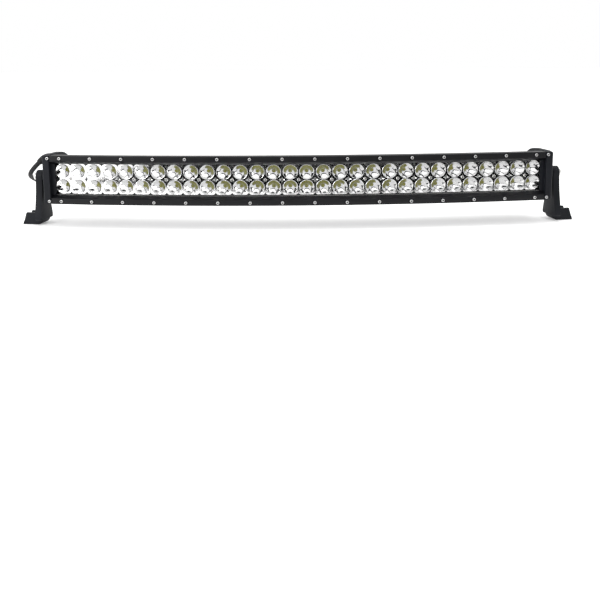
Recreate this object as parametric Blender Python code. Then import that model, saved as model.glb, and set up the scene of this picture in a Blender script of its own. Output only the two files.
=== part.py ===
"""Curved double-row LED light bar with two swivelling mounting brackets.

The bar is bent about a vertical axis behind it, so it bulges towards -Y. Its cross-section is drawn
in two coordinates: depth, measured back from the front face, and height, measured from mid-height.
Z = 0 is the surface that the bracket feet stand on, and X runs along the bar.
"""

import math

import bmesh
import bpy
from mathutils import Matrix, Vector

MM = 0.001
GAP = 0.3 * MM  # between pieces that touch

# The bar as a whole.
BEND_RADIUS = 2450 * MM  # of the front face
BAR_HALF_HEIGHT = 38.5 * MM
BAR_DEPTH = 84 * MM
PIVOT_HEIGHT = 77 * MM  # of the bracket bolts, and of the bar's middle, above the feet
PIVOT_DEPTH = 34.5 * MM

# Reflectors: one module holds a two by two block of cups.
MODULES = 15
LED_PITCH = 26 * MM
ROW_PITCH = 24 * MM
MODULE_PITCH = 2 * LED_PITCH
MODULE_ANGLE = MODULE_PITCH / BEND_RADIUS
CUP_SIDES = 16
CUP_MOUTH_RADIUS = 11.35 * MM
CUP_FLOOR_RADIUS = 3.8 * MM

# Stations along the bar, as arc lengths from its middle on the front face.
HOUSING_END = 391 * MM
CAP_START = 392.3 * MM
CAP_END = 404 * MM
CAP_SCREW_ARC = 394.5 * MM
SCREW_ROW_HEIGHT = 33.9 * MM

# Depths of the layers, front to back.
BEZEL_THICKNESS = 3 * MM
LENS_FRONT = 10.2 * MM
LENS_THICKNESS = 3 * MM
SEAL_THICKNESS = 1.2 * MM
REFLECTOR_FRONT = 15.4 * MM
REFLECTOR_BACK = 30.8 * MM
BOARD_FRONT = 31.1 * MM
BOARD_BACK = 32.7 * MM
WEB_FRONT = 33.0 * MM
TUNNEL_FRONT = 38 * MM
TUNNEL_BACK = 50 * MM

# Half-heights inside the bar.
BEZEL_INNER = 29.3 * MM
BEZEL_LIP_INNER = 24.3 * MM
POCKET_HALF_HEIGHT = 30.4 * MM
CAVITY_HALF_HEIGHT = 24.6 * MM
TUNNEL_HALF_HEIGHT = 13 * MM

# The flat top edge, the slope behind it, and the half-elliptical back with its cooling fins.
TOP_FLAT_END = 15 * MM
SLOPE_END = 44 * MM
BACK_CENTRE = 36 * MM
BACK_HALF_HEIGHT = 33 * MM
FIN_PITCH = 6.4 * MM
GROOVE_WIDTH = 3.2 * MM
GROOVES = 10
INNER_GROOVE_FLOOR = 56 * MM
OUTER_GROOVE_FLOOR = 48 * MM

# End caps.
CAP_LIP = 1 * MM  # how far the cap stands proud of the bar, above and below
CAP_LIP_START = 7 * MM
CAP_FLAT_END = 42 * MM
CAP_BACK = 86.5 * MM
CAP_FRONT_CHAMFER = 2 * MM
WINDOW_END = 386 * MM  # the cap's tab covers the lens from here outwards
TAB_FRONT = 7.5 * MM
TAB_HALF_HEIGHT = 23.8 * MM
CAP_EDGE = 3 * MM
END_SEAL_INSET = 1.5 * MM
END_SEAL_WIDTH = 5 * MM
BOSS_RADIUS = 10.5 * MM
BOSS_LENGTH = 13.5 * MM

# Bolts and brackets, measured outwards from a cap's outer face.
BOLT_RADIUS = 3 * MM
BOLT_CLEARANCE = 0.35 * MM
BRACKET_INNER = BOSS_LENGTH + GAP
BRACKET_OUTER = 24.4 * MM
WASHER_THICKNESS = 1.3 * MM
WASHER_RADIUS = 5.6 * MM
BOLT_HEAD_HEIGHT = 4.2 * MM
BOLT_ACROSS_FLATS = 10 * MM
BOLT_INSIDE = 9.5 * MM  # the length of bolt inside the boss
HUB_RADIUS = 10.8 * MM
NECK_HALF_WIDTH = 10.6 * MM
FLARE_HALF_WIDTH = 20.5 * MM
FLARE_HEIGHT = 9.5 * MM
FOOT_HALF_DEPTH = 11.5 * MM
FOOT_END = 50 * MM
HEEL_RADIUS = 10 * MM
FOOT_THICKNESS = 5 * MM
RIB_HEIGHT = 19 * MM
RIB_THICKNESS = 4 * MM
RIB_TOP_END = 43.5 * MM
FOOT_HOLE_RADIUS = 4.25 * MM
FOOT_HOLE_OUT = 36 * MM

# The cable gland on the left cap, and the plug on the cable's far end.
GLAND_DEPTH = 50 * MM
GLAND_HEIGHT = 29.5 * MM
GLAND_RADIUS = 7 * MM
GLAND_BASE = 5 * MM
BOOT_RADII = (7.0 * MM, 4.9 * MM)
CABLE_RADIUS = 3.75 * MM
PLUG_RADIUS = 8 * MM
PLUG_LENGTH = 44 * MM

# The routes of the boot and of the cable, in metres: out of the left cap, down to the surface
# that the feet stand on, and along behind the bar.
BOOT_ROUTE = (
    (-0.3998, 0.0242, 0.1065),
    (-0.4061, 0.0252, 0.1065),
    (-0.4110, 0.0261, 0.1059),
    (-0.4157, 0.0270, 0.1040),
    (-0.4200, 0.0280, 0.1010),
    (-0.4239, 0.0291, 0.0976),
)
CABLE_ROUTE = (
    (-0.4241, 0.0291, 0.0974),
    (-0.4283, 0.0303, 0.0935),
    (-0.4326, 0.0316, 0.0895),
    (-0.4365, 0.0333, 0.0854),
    (-0.4402, 0.0361, 0.0814),
    (-0.4432, 0.0400, 0.0777),
    (-0.4454, 0.0452, 0.0744),
    (-0.4468, 0.0514, 0.0714),
    (-0.4474, 0.0583, 0.0685),
    (-0.4471, 0.0656, 0.0656),
    (-0.4461, 0.0732, 0.0625),
    (-0.4444, 0.0807, 0.0590),
    (-0.4406, 0.0918, 0.0538),
    (-0.4349, 0.1032, 0.0480),
    (-0.4273, 0.1146, 0.0417),
    (-0.4178, 0.1258, 0.0352),
    (-0.4064, 0.1368, 0.0288),
    (-0.3930, 0.1472, 0.0228),
    (-0.3776, 0.1569, 0.0173),
    (-0.3605, 0.1655, 0.0126),
    (-0.3420, 0.1728, 0.0089),
    (-0.3224, 0.1786, 0.0062),
    (-0.3020, 0.1828, 0.0047),
    (-0.2815, 0.1852, 0.0042),
    (-0.2640, 0.1860, 0.0046),
    (-0.2500, 0.1860, 0.0058),
    (-0.2370, 0.1860, 0.0074),
    (-0.2240, 0.1860, 0.0082),
)

CAP_LENGTH = CAP_END - CAP_START
CAP_ANGLE = CAP_START / BEND_RADIUS
# Y = 0 is the middle between the front of the bar and the rear corners of its caps.
REAR_CORNER = (BEND_RADIUS - CAP_BACK) * math.cos(CAP_ANGLE) - CAP_LENGTH * math.sin(CAP_ANGLE)
FRONT_Y = -0.5 * (BEND_RADIUS - REAR_CORNER)
BEND_CENTRE = Vector((0, FRONT_Y + BEND_RADIUS, PIVOT_HEIGHT))

BLACK = (0.018, 0.019, 0.022, 1)
STEEL = (0.70, 0.70, 0.69, 1)

part = bpy.data.collections.new("led_light_bar")
cutters = bpy.data.collections.new("cutters")


def clear_scene():
    for obj in list(bpy.data.objects):
        bpy.data.objects.remove(obj, do_unlink=True)


def material(name, colour, roughness, metallic=0.0, transmission=0.0):
    made = bpy.data.materials.new(name)
    made.use_nodes = True
    shader = made.node_tree.nodes["Principled BSDF"]
    shader.inputs["Base Color"].default_value = colour
    shader.inputs["Roughness"].default_value = roughness
    shader.inputs["Metallic"].default_value = metallic
    shader.inputs["Transmission Weight"].default_value = transmission
    return made


def add_object(bm, name, finish, smooth=False):
    """Makes a named object of the part from a bmesh."""
    mesh = bpy.data.meshes.new(name)
    bmesh.ops.recalc_face_normals(bm, faces=bm.faces)
    bm.to_mesh(mesh)
    bm.free()
    if smooth:
        mesh.shade_smooth()
        mesh.set_sharp_from_angle(angle=math.radians(35))
    obj = bpy.data.objects.new(name, mesh)
    mesh.materials.append(finish)
    part.objects.link(obj)
    return obj


def bend(arc):
    """Turns what is drawn at the middle of the bar to its place along the bar."""
    turn = Matrix.Rotation(arc / BEND_RADIUS, 4, "Z")
    return Matrix.Translation(BEND_CENTRE) @ turn @ Matrix.Translation(-BEND_CENTRE)


def section_point(depth, height, x=0.0):
    return Vector((x, FRONT_Y + depth, PIVOT_HEIGHT + height))


def section_face(bm, outline, x=0.0):
    """A flat face across the bar, from points of depth and height."""
    return bm.faces.new([bm.verts.new(section_point(d, h, x)) for d, h in outline])


def mirrored(half):
    """Closes an outline that is drawn for the upper half, front to back."""
    return half + [(d, -h) for d, h in reversed(half)]


def turned(outline, angle, steps, bm):
    """Carries a face round the bend axis, and gives the last face."""
    made = bmesh.ops.spin(
        bm, geom=outline, cent=BEND_CENTRE, axis=(0, 0, 1), angle=angle, steps=steps
    )
    return made["geom_last"]


def bent_bar(name, outline, half_arc, finish):
    """A bar of one cross-section with a fold at each seam between two reflector modules."""
    bm = bmesh.new()
    face = section_face(bm, outline)
    bmesh.ops.transform(bm, matrix=bend(-half_arc), verts=bm.verts)
    folds_half_angle = 0.5 * MODULES * MODULE_ANGLE
    end_angle = half_arc / BEND_RADIUS - folds_half_angle
    last = turned([face], end_angle, 1, bm)
    last = turned(last, 2 * folds_half_angle, MODULES, bm)
    turned(last, end_angle, 1, bm)
    return add_object(bm, name, finish)


def plate(name, outline, thickness, arc, finish):
    """A flat piece square to the bar, of a section drawn in depth and height."""
    bm = bmesh.new()
    face = section_face(bm, outline, -0.5 * thickness)
    extrude(bm, face, Vector((thickness, 0, 0)))
    bmesh.ops.transform(bm, matrix=bend(arc), verts=bm.verts)
    return add_object(bm, name, finish)


def extrude(bm, face, move):
    """Pushes a face out, and gives the new face."""
    made = bmesh.ops.extrude_face_region(bm, geom=[face])["geom"]
    bmesh.ops.translate(
        bm, vec=move, verts=[v for v in made if isinstance(v, bmesh.types.BMVert)]
    )
    return next(f for f in made if isinstance(f, bmesh.types.BMFace))


def cone(bm, radius_1, radius_2, length, matrix, sides):
    """A cylinder or cone along its own Z, starting at 0."""
    bmesh.ops.create_cone(
        bm,
        cap_ends=True,
        segments=sides,
        radius1=radius_1,
        radius2=radius_2,
        depth=length,
        matrix=matrix @ Matrix.Translation((0, 0, 0.5 * length)),
    )


def boolean(obj, tool, operation):
    """Cuts or joins with a tool object, which stays in the cutters' collection."""
    tool.hide_render = True
    tool.display_type = "WIRE"
    for collection in tool.users_collection:
        collection.objects.unlink(tool)
    cutters.objects.link(tool)
    modifier = obj.modifiers.new(operation.lower(), "BOOLEAN")
    modifier.operation = operation
    modifier.solver = "EXACT"
    modifier.object = tool


def end_frame(side):
    """The axes at the left (-1) or right (+1) bolt: X outwards, Y to the rear, Z up."""
    bolt = section_point(PIVOT_DEPTH, 0, side * CAP_LENGTH)
    return bend(side * CAP_START) @ Matrix.Translation(bolt) @ Matrix.Diagonal((side, 1, 1, 1))


def outwards(side, out, back, up):
    """A cylinder's placing at one end: its Z axis runs outwards along the bolt's direction."""
    towards = Matrix.Rotation(math.radians(90), 4, "Y")
    return end_frame(side) @ Matrix.Translation((out, back, up)) @ towards


def back_depth(height, proud=0.0):
    """The depth of the rounded back at a height, with the surface grown by an amount."""
    across = min(1.0, abs(height) / (BACK_HALF_HEIGHT + proud))
    return BACK_CENTRE + (BAR_DEPTH - BACK_CENTRE + proud) * math.sqrt(1 - across**2)


def slope_end(proud=0.0):
    """Where the straight slope meets the rounded back."""
    along = (SLOPE_END - BACK_CENTRE) / (BAR_DEPTH - BACK_CENTRE)
    return SLOPE_END, (BACK_HALF_HEIGHT + proud) * math.sqrt(1 - along**2)


def fin_profile():
    """The finned back, from the end of the flat top down to the middle."""
    half = [(TOP_FLAT_END, BAR_HALF_HEIGHT), slope_end()]
    for i in range(GROOVES // 2):
        height = (GROOVES / 2 - 0.5 - i) * FIN_PITCH
        top = height + 0.5 * GROOVE_WIDTH
        low = height - 0.5 * GROOVE_WIDTH
        floor = OUTER_GROOVE_FLOOR if height > 3 * FIN_PITCH else INNER_GROOVE_FLOOR
        half += [(back_depth(top), top), (floor, top), (floor, low), (back_depth(low), low)]
    return half


def housing(finish):
    """The extruded aluminium body: a channel for the optics, a wire tunnel, and fins."""
    front = BEZEL_THICKNESS + GAP
    step = LENS_FRONT + LENS_THICKNESS + SEAL_THICKNESS + 2 * GAP
    channel = [(WEB_FRONT, CAVITY_HALF_HEIGHT), (step, CAVITY_HALF_HEIGHT)]
    channel += [(step, POCKET_HALF_HEIGHT), (front, POCKET_HALF_HEIGHT)]
    outline = mirrored(channel + [(front, BAR_HALF_HEIGHT)] + fin_profile())
    body = bent_bar("housing", outline, HOUSING_END, finish)
    tunnel = mirrored(
        [(TUNNEL_FRONT, TUNNEL_HALF_HEIGHT), (TUNNEL_BACK, TUNNEL_HALF_HEIGHT)]
    )
    cutter = bent_bar("tunnel_cutter", tunnel, HOUSING_END + 5 * MM, finish)
    boolean(body, cutter, "DIFFERENCE")
    return body


def bezel_strip(name, side, finish):
    """A strip screwed on the front, whose sloping inner lip holds the lens."""
    lip_end = LENS_FRONT - GAP
    inner = BEZEL_LIP_INNER + 1.6 * MM
    outline = [(0.8 * MM, BAR_HALF_HEIGHT), (0, BAR_HALF_HEIGHT - 0.8 * MM), (0, BEZEL_INNER)]
    outline += [(lip_end, BEZEL_LIP_INNER), (lip_end, inner)]
    outline += [(BEZEL_THICKNESS, POCKET_HALF_HEIGHT - GAP), (BEZEL_THICKNESS, BAR_HALF_HEIGHT)]
    return bent_bar(name, [(d, side * h) for d, h in outline], HOUSING_END, finish)


def lens(finish):
    half_height = POCKET_HALF_HEIGHT - GAP
    outline = mirrored(
        [(LENS_FRONT, half_height), (LENS_FRONT + LENS_THICKNESS, half_height)]
    )
    return bent_bar("lens", outline, HOUSING_END, finish)


def lens_seal(name, side, finish):
    """A silicone strip between the lens and the step in the housing."""
    front = LENS_FRONT + LENS_THICKNESS + GAP
    back = front + SEAL_THICKNESS
    low, high = CAVITY_HALF_HEIGHT + GAP, POCKET_HALF_HEIGHT - GAP
    outline = [(front, low), (front, high), (back, high), (back, low)]
    return bent_bar(name, [(d, side * h) for d, h in outline], HOUSING_END, finish)


def reflector(index, finish):
    """A block with four cups that are open at both ends."""
    arc = (index - 0.5 * (MODULES - 1)) * MODULE_PITCH
    shrink = 1 - REFLECTOR_BACK / BEND_RADIUS  # modules close up towards the bend axis
    half_height = ROW_PITCH - 0.3 * MM
    outline = mirrored([(REFLECTOR_FRONT, half_height), (REFLECTOR_BACK, half_height)])
    width = MODULE_PITCH * shrink - 0.3 * MM
    block = plate(f"reflector_{index + 1:02d}", outline, width, arc, finish)
    bm = bmesh.new()
    overrun = 1 * MM
    slope = (CUP_MOUTH_RADIUS - CUP_FLOOR_RADIUS) / (REFLECTOR_BACK - REFLECTOR_FRONT)
    to_rear = Matrix.Rotation(math.radians(-90), 4, "X")
    for x in (-0.5, 0.5):
        for h in (-0.5, 0.5):
            across = x * LED_PITCH * shrink
            start = section_point(REFLECTOR_FRONT - overrun, h * ROW_PITCH, across)
            cone(
                bm,
                CUP_MOUTH_RADIUS + overrun * slope,
                CUP_FLOOR_RADIUS - overrun * slope,
                REFLECTOR_BACK - REFLECTOR_FRONT + 2 * overrun,
                Matrix.Translation(start) @ to_rear,
                CUP_SIDES,
            )
    bmesh.ops.transform(bm, matrix=bend(arc), verts=bm.verts)
    boolean(block, add_object(bm, f"cup_cutter_{index + 1:02d}", finish), "DIFFERENCE")
    return block


def led_board(name, first, last, finish):
    """An aluminium-core board behind a run of reflector modules."""
    half_height = CAVITY_HALF_HEIGHT - 0.6 * MM
    outline = mirrored([(BOARD_FRONT, half_height), (BOARD_BACK, half_height)])
    bm = bmesh.new()
    face = section_face(bm, outline)
    start = (first - 0.5 * MODULES) * MODULE_PITCH
    trim = 0.4 * MM
    bmesh.ops.transform(bm, matrix=bend(start + trim), verts=bm.verts)
    angle = ((last - first) * MODULE_PITCH - 2 * trim) / BEND_RADIUS
    turned([face], angle, last - first, bm)
    return add_object(bm, name, finish)


def driver_board(finish):
    """The constant-current driver's circuit board, on edge in the tunnel beside the cable entry."""
    half = 11.5 * MM
    depth = TUNNEL_FRONT + 3 * MM
    outline = mirrored([(depth, half), (depth + 1.6 * MM, half)])
    return plate("driver_board", outline, 110 * MM, -300 * MM, finish)


def cap_outline():
    """The cap's outer edge: flush at the front, and fuller than the bar towards the back."""
    half = [(0, BAR_HALF_HEIGHT - CAP_FRONT_CHAMFER), (CAP_FRONT_CHAMFER, BAR_HALF_HEIGHT)]
    top = BAR_HALF_HEIGHT + CAP_LIP
    half += [(CAP_LIP_START, top)]
    steps = 8
    for i in range(steps):
        turn = 0.5 * math.pi * i / steps
        reach = (CAP_BACK - CAP_FLAT_END) * math.sin(turn)
        half.append((CAP_FLAT_END + reach, top * math.cos(turn)))
    return half + [(CAP_BACK, 0)] + [(d, -h) for d, h in reversed(half)]


def seal_outline(front, inset):
    """The housing's outline without its grooves, from a front depth, drawn smaller by an inset."""
    top = BAR_HALF_HEIGHT - inset
    half = [(front, top), (TOP_FLAT_END, top), slope_end(-inset)]
    steps = 7
    for i in range(1, steps):
        height = half[2][1] * math.cos(0.5 * math.pi * i / steps)
        half.append((back_depth(height, -inset), height))
    return half + [(BAR_DEPTH - inset, 0)] + [(d, -h) for d, h in reversed(half)]


def end_cap(side, finish):
    """A cast cap with a rounded outer edge, and a boss that the bracket swivels on."""
    name = "end_cap_left" if side < 0 else "end_cap_right"
    bm = bmesh.new()
    face = section_face(bm, cap_outline())
    outer = extrude(bm, face, Vector((side * (CAP_END - CAP_START), 0, 0)))
    rim = [e for e in outer.edges if min(v.co.y for v in e.verts) > FRONT_Y + 0.1 * MM]
    bmesh.ops.bevel(bm, geom=rim, offset=CAP_EDGE, segments=2, profile=0.5, affect="EDGES")
    bmesh.ops.transform(bm, matrix=bend(side * CAP_START), verts=bm.verts)
    cap = add_object(bm, name, finish)
    tab = [(TAB_FRONT, TAB_HALF_HEIGHT + 1.2 * MM), (LENS_FRONT - GAP, TAB_HALF_HEIGHT)]
    inner, outer = WINDOW_END, CAP_START + 2 * MM
    arc = side * 0.5 * (inner + outer)
    boolean(cap, plate(name + "_tab", mirrored(tab), outer - inner, arc, finish), "UNION")
    bm = bmesh.new()
    cone(bm, BOSS_RADIUS, BOSS_RADIUS, BOSS_LENGTH + 2 * MM, outwards(side, -2 * MM, 0, 0), 24)
    boolean(cap, add_object(bm, name + "_boss", finish), "UNION")
    bm = bmesh.new()
    bore = BOLT_RADIUS + BOLT_CLEARANCE
    start = BOSS_LENGTH - BOLT_INSIDE - 0.5 * MM
    cone(bm, bore, bore, BOLT_INSIDE + 3 * MM, outwards(side, start, 0, 0), 16)
    for row in (-1, 1):
        cone(bm, 1.9 * MM, 1.9 * MM, 12 * MM, cap_screw_place(side, row, -2 * MM), 12)
    if side < 0:
        place = gland_place(-6 * MM)
        cone(bm, GLAND_RADIUS - 1.5 * MM, GLAND_RADIUS - 1.5 * MM, 9 * MM, place, 16)
    boolean(cap, add_object(bm, name + "_bores", finish), "DIFFERENCE")
    return cap


def end_seal(side, finish):
    """A flat gasket between the housing's end and its cap, open at the front round the lens."""
    name = "end_seal_left" if side < 0 else "end_seal_right"
    thickness = CAP_START - HOUSING_END - 2 * GAP
    arc = side * 0.5 * (CAP_START + HOUSING_END)
    outer = seal_outline(BEZEL_THICKNESS + END_SEAL_INSET, END_SEAL_INSET)
    inner = seal_outline(0, END_SEAL_INSET + END_SEAL_WIDTH)
    seal = plate(name, outer, thickness, arc, finish)
    boolean(seal, plate(name + "_opening", inner, 3 * MM, arc, finish), "DIFFERENCE")
    return seal


def cap_screw_place(side, row, depth):
    """A screw's placing on the front of a cap: its Z axis runs to the rear."""
    to_rear = Matrix.Rotation(math.radians(-90), 4, "X")
    start = section_point(depth, row * SCREW_ROW_HEIGHT)
    return bend(side * CAP_SCREW_ARC) @ Matrix.Translation(start) @ to_rear


def cap_screw(side, row, finish):
    ends = {-1: "left", 1: "right"}
    rows = {-1: "bottom", 1: "top"}
    bm = bmesh.new()
    outline = ((-1.6, 0), (-1.6, 1.6), (-1.0, 2.4), (-GAP / MM, 2.6), (-GAP / MM, 1.5), (9, 1.5))
    lathe(bm, outline, cap_screw_place(side, row, 0), 16)
    return add_object(bm, f"cap_screw_{ends[side]}_{rows[row]}", finish, smooth=True)


def lathe(bm, outline, matrix, sides):
    """Turns an outline, of points along and out from an axis in millimetres, about its Z axis."""
    points = [Vector((radius * MM, 0, along * MM)) for along, radius in outline]
    points.append(Vector((0, 0, outline[-1][0] * MM)))
    verts = [bm.verts.new(p) for p in points]
    edges = [bm.edges.new(pair) for pair in zip(verts, verts[1:])]
    bmesh.ops.spin(
        bm,
        geom=verts + edges,
        cent=(0, 0, 0),
        axis=(0, 0, 1),
        angle=2 * math.pi,
        steps=sides,
        use_merge=True,
    )
    bmesh.ops.remove_doubles(bm, verts=bm.verts, dist=0.01 * MM)
    bmesh.ops.transform(bm, matrix=matrix, verts=bm.verts)


def pivot_bolt(side, finish):
    """A hexagon-head bolt, screwed into the cap's boss through the bracket."""
    head_start = BRACKET_OUTER + WASHER_THICKNESS + 2 * GAP
    bm = bmesh.new()
    head_radius = 0.5 * BOLT_ACROSS_FLATS / math.cos(math.radians(30))
    cone(bm, head_radius, head_radius, BOLT_HEAD_HEIGHT, outwards(side, head_start, 0, 0), 6)
    name = "pivot_bolt_left" if side < 0 else "pivot_bolt_right"
    bolt = add_object(bm, name, finish)
    bm = bmesh.new()
    start = BOSS_LENGTH - BOLT_INSIDE
    length = head_start + 1 * MM - start
    cone(bm, BOLT_RADIUS, BOLT_RADIUS, length, outwards(side, start, 0, 0), 16)
    boolean(bolt, add_object(bm, name + "_shank", finish), "UNION")
    return bolt


def pivot_washer(side, finish):
    name = "pivot_washer_left" if side < 0 else "pivot_washer_right"
    bore = (BOLT_RADIUS + BOLT_CLEARANCE) / MM
    start = (BRACKET_OUTER + GAP) / MM
    end = start + WASHER_THICKNESS / MM
    radius = WASHER_RADIUS / MM
    bm = bmesh.new()
    ring(bm, ((start, bore), (start, radius), (end, radius), (end, bore)), outwards(side, 0, 0, 0))
    return add_object(bm, name, finish, smooth=True)


def ring(bm, outline, matrix, sides=20):
    """Turns a closed outline that stays clear of its axis, in millimetres."""
    verts = [bm.verts.new((radius * MM, 0, along * MM)) for along, radius in outline]
    edges = [bm.edges.new((verts[i - 1], verts[i])) for i in range(len(verts))]
    bmesh.ops.spin(
        bm,
        geom=verts + edges,
        cent=(0, 0, 0),
        axis=(0, 0, 1),
        angle=2 * math.pi,
        steps=sides,
        use_merge=True,
    )
    bmesh.ops.remove_doubles(bm, verts=bm.verts, dist=0.01 * MM)
    bmesh.ops.transform(bm, matrix=matrix, verts=bm.verts)


def upright_outline():
    """The bracket's upright seen along its bolt: a round hub, a neck and a flared lower end."""
    below = -PIVOT_HEIGHT
    half = [(FLARE_HALF_WIDTH - 2 * MM, below + FLARE_HEIGHT - 2 * MM)]
    half += [(FLARE_HALF_WIDTH, below + FLARE_HEIGHT)]
    half += [(FLARE_HALF_WIDTH - 1.8 * MM, below + 22 * MM)]
    half += [(NECK_HALF_WIDTH + 2.2 * MM, below + 50 * MM)]
    steps = 6
    for i in range(steps):
        turn = math.radians(-10) + math.radians(100) * i / steps
        half.append((HUB_RADIUS * math.cos(turn), HUB_RADIUS * math.sin(turn)))
    top = [(0, HUB_RADIUS)]
    return half + top + [(-e, z) for e, z in reversed(half)]


def base_outline():
    """The foot's base seen from the front, with a round heel that runs up into the upright."""
    floor = -PIVOT_HEIGHT
    inner = BRACKET_INNER + 0.2 * MM
    outer = BRACKET_OUTER - 1 * MM
    top = floor + 14 * MM
    steps = 4
    outline = []
    for i in range(steps + 1):
        turn = 0.5 * math.pi * i / steps
        out = inner + HEEL_RADIUS * (1 - math.cos(turn))
        outline.append((out, floor + HEEL_RADIUS * (1 - math.sin(turn))))
    outline += [(FOOT_END, floor), (FOOT_END - 1.4 * MM, floor + FOOT_THICKNESS)]
    return outline + [(outer, floor + FOOT_THICKNESS), (outer, top), (inner, top)]


def bracket_block(name, outline, across, place, finish):
    """A slab of an outline drawn across one of the bracket's own axes."""
    bm = bmesh.new()
    face = bm.faces.new([bm.verts.new(p) for p in outline])
    extrude(bm, face, across)
    bmesh.ops.transform(bm, matrix=place, verts=bm.verts)
    return add_object(bm, name, finish)


def bracket(side, finish):
    """A cast bracket: an upright with a hub, and a foot with a rib at its front and rear edges."""
    name = "bracket_left" if side < 0 else "bracket_right"
    place = end_frame(side)
    thickness = Vector((BRACKET_OUTER - BRACKET_INNER, 0, 0))
    points = [Vector((BRACKET_INNER, e, z)) for e, z in upright_outline()]
    body = bracket_block(name, points, thickness, place, finish)
    inside = BRACKET_OUTER - 3 * MM
    floor = -PIVOT_HEIGHT
    points = [Vector((t, -FOOT_HALF_DEPTH, z)) for t, z in base_outline()]
    depth = Vector((0, 2 * FOOT_HALF_DEPTH, 0))
    boolean(body, bracket_block(name + "_base", points, depth, place, finish), "UNION")
    rib = [(inside, floor + 2 * MM), (FOOT_END - 0.4 * MM, floor + 0.5 * MM)]
    rib += [(RIB_TOP_END, floor + RIB_HEIGHT), (inside, floor + RIB_HEIGHT)]
    across = Vector((0, RIB_THICKNESS, 0))
    front_edge = -FOOT_HALF_DEPTH + 0.2 * MM
    for edge, end in ((front_edge, "front"), (-front_edge - RIB_THICKNESS, "rear")):
        points = [Vector((t, edge, z)) for t, z in rib]
        slab = bracket_block(f"{name}_{end}_rib", points, across, place, finish)
        boolean(body, slab, "UNION")
    bm = bmesh.new()
    bore = BOLT_RADIUS + BOLT_CLEARANCE
    cone(bm, bore, bore, 14 * MM, outwards(side, BRACKET_INNER - 2 * MM, 0, 0), 20)
    hole = place @ Matrix.Translation((FOOT_HOLE_OUT, 0, floor - 2 * MM))
    cone(bm, FOOT_HOLE_RADIUS, FOOT_HOLE_RADIUS, FOOT_THICKNESS + 4 * MM, hole, 20)
    boolean(body, add_object(bm, name + "_bores", finish), "DIFFERENCE")
    return body


def gland_place(out):
    return outwards(-1, out, GLAND_DEPTH - PIVOT_DEPTH, GLAND_HEIGHT)


def gland(plastic, rubber):
    """The gland's hexagon base against the cap, and its tapered boot, which droops with the cable."""
    bm = bmesh.new()
    cone(bm, GLAND_RADIUS, GLAND_RADIUS, GLAND_BASE - GAP, gland_place(GAP), 6)
    add_object(bm, "cable_gland", plastic)
    boot = tube("cable_boot", smooth_line(BOOT_ROUTE, 3), BOOT_RADII[0], rubber)
    points = boot.data.splines[0].points
    taper = BOOT_RADII[1] / BOOT_RADII[0]
    for i, point in enumerate(points):
        point.radius = 1 + (taper - 1) * i / (len(points) - 1)


def smooth_line(route, parts):
    """Points of a smooth curve through a route, with each span cut in a number of parts."""
    points = [Vector(p) for p in route]
    ends = [2 * points[0] - points[1]] + points + [2 * points[-1] - points[-2]]
    line = []
    for a, b, c, d in zip(ends, ends[1:], ends[2:], ends[3:]):
        for t in (i / parts for i in range(parts)):
            bend_part = (2 * a - 5 * b + 4 * c - d) * t**2 + (3 * b - a - 3 * c + d) * t**3
            line.append(0.5 * (2 * b + (c - a) * t + bend_part))
    return line + [points[-1]]


def tube(name, route, radius, finish):
    curve = bpy.data.curves.new(name, "CURVE")
    curve.dimensions = "3D"
    curve.bevel_depth = radius
    curve.bevel_resolution = 3
    curve.use_fill_caps = True
    spline = curve.splines.new("POLY")
    spline.points.add(len(route) - 1)
    for point, place in zip(spline.points, route):
        point.co = (*place, 1)
    curve.materials.append(finish)
    obj = bpy.data.objects.new(name, curve)
    part.objects.link(obj)
    return obj


def plug(plastic, rubber):
    """A round two-pin plug with a locking ring, lying behind the bar."""
    start = Vector(CABLE_ROUTE[-1]) + Vector((GAP, 0, 0))
    along_x = Matrix.Translation(start) @ Matrix.Rotation(math.radians(90), 4, "Y")
    radius, length = PLUG_RADIUS / MM, PLUG_LENGTH / MM
    bm = bmesh.new()
    outline = ((0, 0), (0, 4.6), (14, 5.6), (15, 6.6), (length - 6, 6.6), (length, 6.0))
    lathe(bm, outline, along_x, 20)
    add_object(bm, "plug_body", plastic, smooth=True)
    bm = bmesh.new()
    first, last = 22, length - 8
    ring(bm, ((first, 6.9), (first, radius), (last, radius), (last, 6.9)), along_x, 24)
    add_object(bm, "plug_lock_ring", rubber, smooth=True)


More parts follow.
